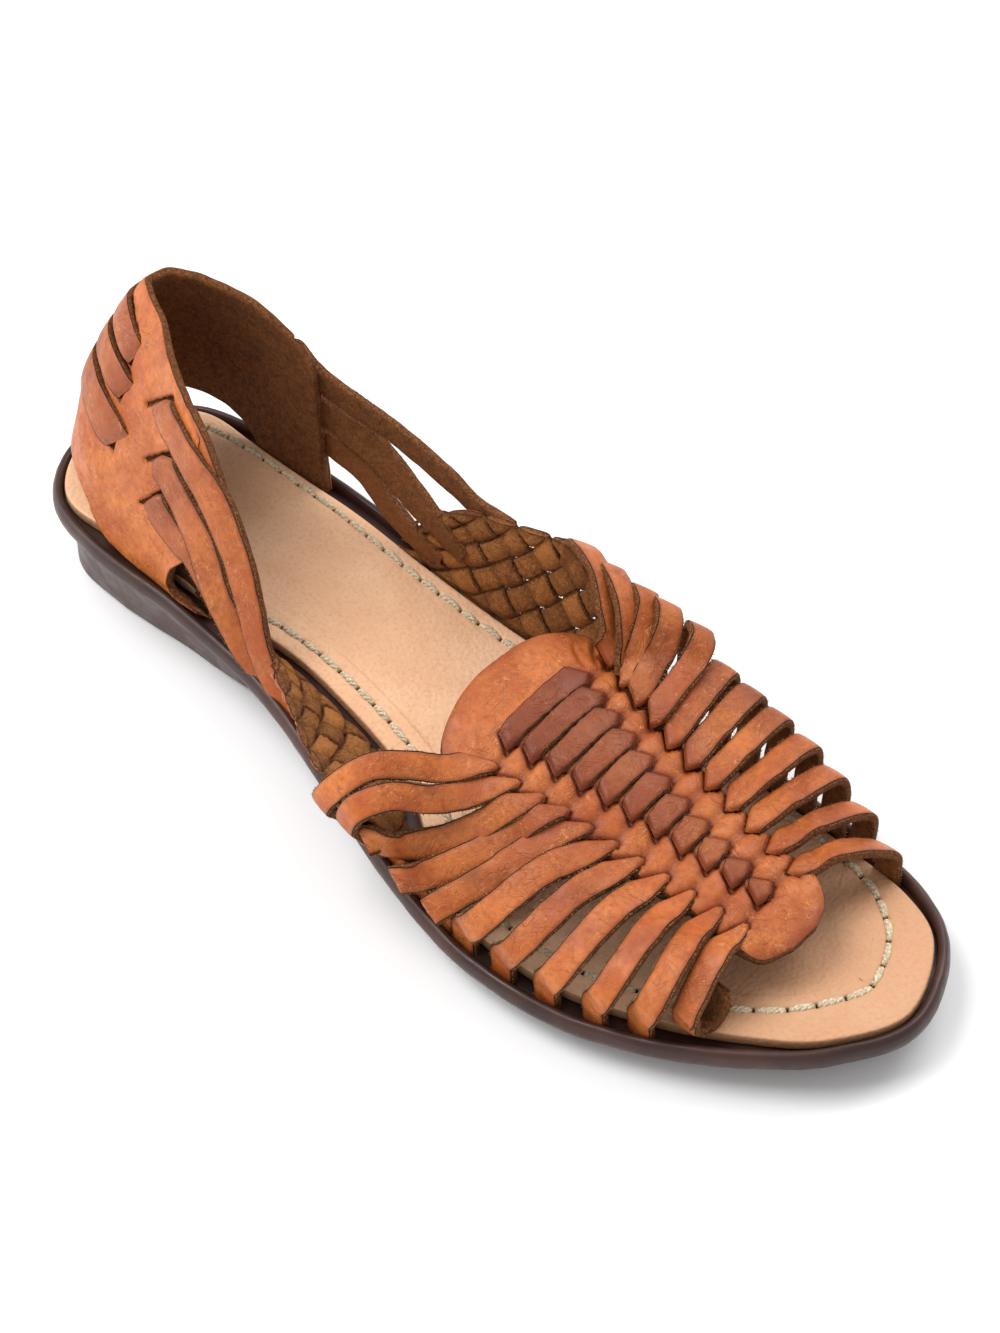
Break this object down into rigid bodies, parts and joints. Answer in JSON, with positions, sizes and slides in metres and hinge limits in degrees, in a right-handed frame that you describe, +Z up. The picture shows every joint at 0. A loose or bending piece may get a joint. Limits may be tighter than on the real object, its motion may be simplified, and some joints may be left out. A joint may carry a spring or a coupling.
{
  "type": "huarache sandal",
  "caption": "Right woven leather huarache sandal: heel counter on straps, plaited sides, strapped vamp round a centre piece, open toe, moulded wedge sole.",
  "frame": {"origin": "centre of the bounding box in plan, on the floor", "axes": "+X from heel to toe, +Y to the medial side, +Z up"},
  "size_m": [0.255, 0.0854, 0.0792],
  "materials": {
    "sole_rubber": "semi-gloss dark brown moulded rubber",
    "footbed_leather": "matt natural beige leather with a fine pebble",
    "tan_leather": "burnished orange-tan leather, brown suede on the flesh side"
  },
  "bodies": {
    "root": {"outsole": "sole_rubber", "footbed": "footbed_leather", "upper": "tan_leather", "heel_counter": "tan_leather"}
  },
  "joints": []
}
